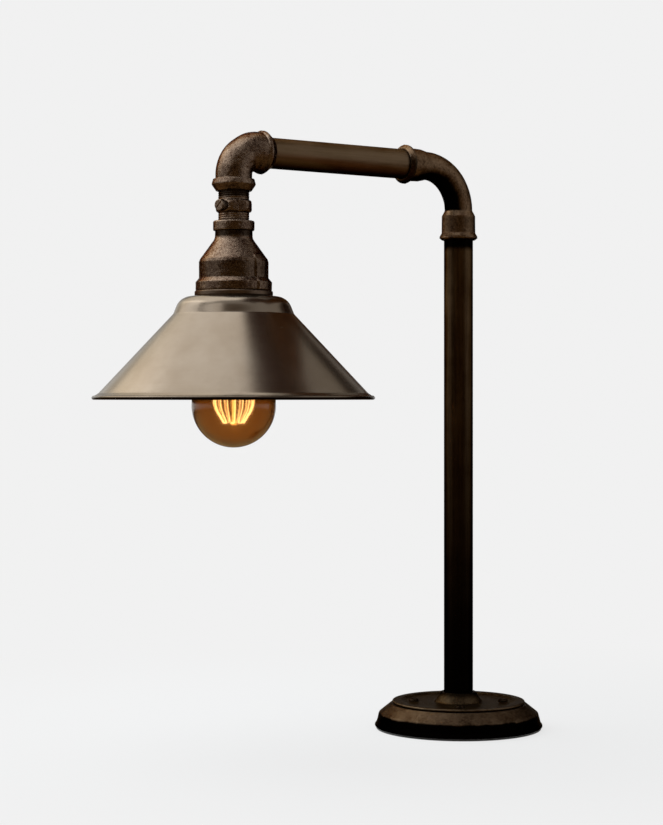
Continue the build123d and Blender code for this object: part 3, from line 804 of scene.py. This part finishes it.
cloud = spot.noise(22, 4, 0.6)
mist = spot.noise(260, 4, 0.6)
tone = (rings * 0.12 + cloud * 0.88).between(0.36, 0.64)
tone = tone.blend((0.126, 0.097, 0.071), (0.146, 0.116, 0.088))
# Painted shade: the underside of the rolled lip is painted black.
tone = spot.height().between(shade_low + 1.8, shade_low + 3.3, mm).blend((0.006, 0.003, 0.002), tone)
coat(spun_bronze,
     Base_Color=tone,
     Metallic=1.0,
     Specular_Tint=(0.52, 0.50, 0.47),
     Roughness=0.24 + (cloud - 0.5) * 0.05 + (rings - 0.5) * 0.08 + (mist - 0.5) * 0.05,
     Normal=(rings * 0.8 + mist * 0.2).bump(0.000008))
shade.data.materials.append(spun_bronze)
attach(shade, "head")
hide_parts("shade")

# Lampholder metal
# Brass shell, contact leaf, terminal screws and stem inside the reducer. The
# shell is rolled to a screw that the bulb's cap turns in.
brass, spot = finish("rolled_brass")
tarnish = spot.noise(180, 4)
coat(brass,
     Base_Color=tarnish.between(0.35, 0.65).blend((0.36, 0.24, 0.085), (0.62, 0.46, 0.19)),
     Metallic=1.0,
     Roughness=0.22 + tarnish * 0.2)
dress(brass, "holder_contact", "holder_screws", "terminal_screws", "holder_stem")
screw_pitch = 3.629
shell_low = 376.0
shell_top = 405.7
shell_bore = 13.36
shell_radius = 13.66


def shell_relief(along, radius, angle, point):
    """Screw thread rolled into the whole wall."""
    return 0.14 * thread(along, angle, screw_pitch)


holder_shell = skin("holder_screw_shell", outline([
    (shell_low, shell_bore, 0),
    (shell_top, shell_bore, 0),
    (shell_top, shell_radius, 0),
    (shell_low, shell_radius, 0)], 0.7),
    upright(head_x), 96, shell_relief)
holder_shell.data.materials.append(brass)
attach(holder_shell, "head")
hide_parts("holder_shell")

# Lead
# Round two-core lead in a black sheath, drawn through the pipes from the base
# to the lampholder. It is hidden except at the open ends.
sheath, spot = finish("lead_sheath")
scuff = spot.noise(700, 3)
coat(sheath,
     Base_Color=scuff.between(0.3, 0.7).blend((0.012, 0.012, 0.012), (0.035, 0.034, 0.033)),
     Roughness=0.5 + scuff * 0.2)
dress(sheath, "lead_post", "lead_arm", "lead_head")

# Bulb glass
# A round bulb blown in amber-tinted glass, with a long shoulder down to the
# neck. The wall is thin and a little hazy, and its tint deepens where it is
# seen edge on.
amber, spot = finish("amber_glass")
streak = spot.stretched(1, 1, 0.4).noise(34, 2)
edge = spot.add("LayerWeight", {}, {"Blend": 0.5}, output="Facing")
tint = streak.between(0.3, 0.7).blend((0.395, 0.195, 0.052), (0.455, 0.235, 0.070))
coat(amber,
     Base_Color=edge.between(0.32, 0.92).blend(tint, (0.06, 0.025, 0.009)),
     Roughness=0.15,
     IOR=1.42,
     Transmission_Weight=1.0,
     Normal=streak.bump(0.0004))
dress(amber, "bulb_glass")

# Bulb cap
# Tinned brass cap, rolled to a round screw thread, with a black glass insulator
# and a soldered contact at its tip.
cap_low = 377.0
cap_top = 399.0
cap_radius = 13.1
cap_bore = 12.0
cap_neck = 9.9


def cap_relief(along, radius, angle, point):
    """Screw thread between the cap's plain ends."""
    if radius < cap_bore or not cap_low + 2 < along < cap_top - 1.5:
        return 0
    return -0.45 + 0.45 * thread(along, angle, screw_pitch)


bulb_cap = skin("bulb_screw_cap", outline([
    (cap_low, 12.5, 0),
    (cap_low, cap_radius, 0.15),
    (cap_low + 1.6, cap_radius, 0.4),
    (cap_top, 12.6, 1.2),
    (cap_top, cap_neck, 0),
    (cap_top - 0.5, cap_neck, 0),
    (cap_top - 0.5, cap_bore, 0),
    (cap_low + 2, cap_bore, 0)], 0.45),
    upright(head_x), 96, cap_relief)
tinned, spot = finish("tinned_brass")
wipe = spot.noise(300, 4)
coat(tinned,
     Base_Color=wipe.between(0.35, 0.65).blend((0.46, 0.42, 0.34), (0.66, 0.62, 0.53)),
     Metallic=1.0,
     Roughness=0.22 + wipe * 0.2)
bulb_cap.data.materials.append(tinned)
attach(bulb_cap, "bulb")
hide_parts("bulb_cap")
black_glass, spot = finish("black_cap_glass")
swirl = spot.noise(420, 3)
coat(black_glass,
     Base_Color=swirl.between(0.3, 0.7).blend((0.008, 0.007, 0.009), (0.024, 0.021, 0.025)),
     Roughness=0.1 + swirl * 0.12)
dress(black_glass, "cap_insulator")
solder, spot = finish("soldered_tip")
drip = spot.noise(600, 3)
coat(solder,
     Base_Color=drip.between(0.35, 0.65).blend((0.44, 0.43, 0.42), (0.64, 0.63, 0.61)),
     Metallic=1.0,
     Roughness=0.26 + drip * 0.2,
     Normal=drip.bump(0.0003))
dress(solder, "bulb_eyelet")

# Filament
# One long drawn wire, hung up and down on hooks round a glass stem, glowing
# yellow-white. The cage is turned so that its far runs show between the near ones.
glow, spot = finish("glowing_wire")
heat = spot.noise(120, 2)
coat(glow,
     Base_Color=heat.between(0.3, 0.7).blend((0.62, 0.40, 0.16), (0.80, 0.58, 0.28)),
     Roughness=0.6,
     Emission_Color=heat.between(0.35, 0.65).blend((1.0, 0.93, 0.97), (1.0, 0.95, 1.0)),
     Emission_Strength=7.5)
cage_turn = math.radians(-5.6)


def turned(name, node, material):
    """Piece like a node of the bulb, turned about the bulb's axis with the rest of the cage."""
    axis = Vector((head_x, 0, 0)) * mm
    turn = Matrix.Rotation(cage_turn, 4, "Z")
    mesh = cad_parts[node].data.copy()
    mesh.transform(Matrix.Translation(axis) @ turn @ Matrix.Translation(-axis))
    mesh.materials.clear()
    mesh.materials.append(material)
    piece = put(name, mesh)
    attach(piece, "bulb")
    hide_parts(node)


turned("hung_filament", "filament", glow)
stem_glass_painted_glow, spot = finish("clear_stem_glass")
seed = spot.noise(300, 2)
# The stem glass is given a painted glow, as if lit from inside by the filament.
coat(stem_glass_painted_glow,
     Base_Color=seed.between(0.3, 0.7).blend((0.90, 0.93, 0.91), (0.97, 0.98, 0.97)),
     Roughness=0.03,
     IOR=1.5,
     Transmission_Weight=1.0,
     Emission_Color=(1.0, 0.78, 0.42),
     Emission_Strength=1.5)
dress(stem_glass_painted_glow, "bulb_stem")
nickel, spot = finish("nickel_wire")
draw = spot.noise(900, 3)
coat(nickel,
     Base_Color=draw.between(0.35, 0.65).blend((0.38, 0.36, 0.33), (0.55, 0.53, 0.50)),
     Metallic=1.0,
     Roughness=0.3 + draw * 0.15)
turned("filament_hooks", "filament_supports", nickel)
turned("stem_wires", "lead_in_wires", nickel)

# Studio floor
# Plain pale floor, seen by the lens as the same tone as the backdrop behind it.
# Near the lamp it is lit as a real surface, so it keeps the lamp's shadow.
pale = (0.879, 0.879, 0.879, 1)
floor_radius = 14.0


def seen(wire):
    """1 where the lens sees a surface itself, or sees it in metal or through glass."""
    rays = wire.add("LightPath", {}, {}, output="Is Camera Ray")
    rays = rays + wire.add("LightPath", {}, {}, output="Is Glossy Ray")
    rays = rays + wire.add("LightPath", {}, {}, output="Is Transmission Ray")
    return rays.maths("MINIMUM", rays, 1)


shape = bmesh.new()
bmesh.ops.create_circle(shape, cap_ends=True, segments=96, radius=floor_radius)
floor = put("studio_floor", mesh_of("studio_floor", shape))
floor_paper, spot = finish("floor_paper")
lit = spot.add("BsdfDiffuse", {}, {"Color": (0.74, 0.74, 0.74, 1)})
plain = spot.add("Emission", {}, {"Color": pale, "Strength": 1.0})
share = seen(spot) * (0.80 + 0.20 * spot.length().between(0.12, 0.7))
paper = spot.add("MixShader", {}, {0: share, 1: lit, 2: plain})
nodes = floor_paper.node_tree.nodes
nodes.remove(nodes["Principled BSDF"])
floor_paper.node_tree.links.new(paper.socket, nodes["Material Output"].inputs["Surface"])
floor.data.materials.append(floor_paper)

# Studio light
# Four soft boxes above, to the left, behind and in front. Tan cards stand for the
# room and its floor, and dark cards above, behind, at the edge, on the far floor
# and at the arm keep the metal deep.
look = Vector((0.5736, 0.8192, 0))
right = Vector((0.8192, -0.5736, 0))
up = Vector((0, 0, 1))
head = Vector((head_x * mm, 0, 0.40))
at_head = Vector((0, 0, 0))


def facing(place, aim):
    """Frame at a place, turned to the aim, with its width along the picture's width."""
    back = (place - aim).normalized()
    wide = (right - back * right.dot(back)).normalized()
    pose = Matrix((wide, back.cross(wide), back)).transposed().to_4x4()
    pose.translation = place
    return pose


def soft_box(name, place, width, height, watts):
    """Soft light at a place beside the head, turned to it."""
    lamp = bpy.data.lights.new(name, "AREA")
    lamp.shape = "RECTANGLE"
    lamp.size = width
    lamp.size_y = height
    lamp.energy = watts
    lamp.color = (0.90, 0.96, 1.0)
    box = put(name, lamp)
    box.matrix_world = facing(head + place, head)
    box.visible_camera = False


def cloth(name, low, high):
    """Dull cloth for a card."""
    material, spot = finish(name)
    return coat(material, Base_Color=spot.noise(40).blend(low, high), Roughness=1.0)


def card(name, place, aim, width, height, cover):
    """Card that only shiny surfaces see, at a place beside the head, turned to the aim."""
    shape = bmesh.new()
    bmesh.ops.create_grid(shape, x_segments=1, y_segments=1, size=0.5)
    bmesh.ops.scale(shape, vec=(width, height, 1), verts=shape.verts)
    board = put(name, mesh_of(name, shape))
    board.matrix_world = facing(head + place, head + aim)
    board.visible_camera = False
    board.visible_transmission = False
    board.visible_diffuse = False
    board.visible_shadow = False
    board.data.materials.append(cover)


soft_box("key_box", look * 0.35 - right * 0.32 + up * 0.92, width=1.10, height=1.5, watts=14.5)
soft_box("left_box", look * 0.40 - right * 1.05 + up * 0.72, width=0.6, height=1.2, watts=7.5)
soft_box("back_box", look * 1.25 - right * 0.85 + up * 0.40, width=0.6, height=0.7, watts=2.0)
soft_box("front_box", -look * 0.92 - right * 1.0 + up * 0.95, width=1.2, height=0.65, watts=5.2)
room_cloth = cloth("room_cloth", (0.30, 0.175, 0.062), (0.36, 0.22, 0.083))
dark_cloth = cloth("dark_cloth", (0.075, 0.020, 0.002), (0.095, 0.027, 0.003))
arm_cloth = cloth("arm_cloth", (0.24, 0.085, 0.010), (0.30, 0.11, 0.016))
card("room_card", up * 0.5 - look * 2.4, up * 0.5, width=7.5, height=4.5, cover=room_cloth)
floor_spot = right * 0.2 - look * 0.85 - up * (head.z - 0.003)
card("floor_card", floor_spot, floor_spot + up, width=6.0, height=3.3, cover=room_cloth)
far_spot = floor_spot + look * 2.65
card("far_card", far_spot, far_spot + up, width=6.0, height=2.0, cover=dark_cloth)
card("top_card", right * 0.44 - look * 0.05 + up * 0.95, at_head, width=0.46, height=0.80, cover=dark_cloth)
arm_spot = right * 0.128 + look * 0.2 + up * 0.09
card("arm_card", arm_spot, arm_spot - up, width=0.075, height=0.5, cover=arm_cloth)
card("back_card", right * 1.1 + look * 1.0 + up * 0.2, at_head, width=1.2, height=1.2, cover=dark_cloth)
card("edge_card", right * 0.24 + look * 1.05 + up * 0.5, at_head, width=0.38, height=1.0, cover=dark_cloth)

# Backdrop
# Plain pale paper behind the lamp, in one tone with the floor to the lens, metal
# and glass. To everything else it is a weak light from all round.
world = bpy.data.worlds.new("studio_air")
world.use_nodes = True
bpy.context.scene.world = world
air = world.node_tree
air.nodes.clear()
start = Wire(air)
backdrop = start.add("Background", {}, {"Color": pale, "Strength": 1.0})
ambient = start.add("Background", {}, {"Color": (1, 0.99, 0.97, 1), "Strength": 0.45})
sky = start.add("MixShader", {}, {0: seen(start), 1: ambient, 2: backdrop})
air.links.new(sky.socket, air.nodes.new("ShaderNodeOutputWorld").inputs["Surface"])

# Camera
# A long lens, level, a little above the middle of the post, turned so that the
# arm runs away to the right. The frame is shifted down by a few pixels.
lens = bpy.data.cameras.new("camera")
lens.sensor_width = 36
lens.lens = 88.8
lens.shift_y = -0.0188
camera = put("camera", lens)
camera.location = (-1.169, -1.466, 0.304)
camera.rotation_euler = look.to_track_quat("-Z", "Y").to_euler()
bpy.context.scene.camera = camera

bpy.context.scene.view_settings.view_transform = "Standard"
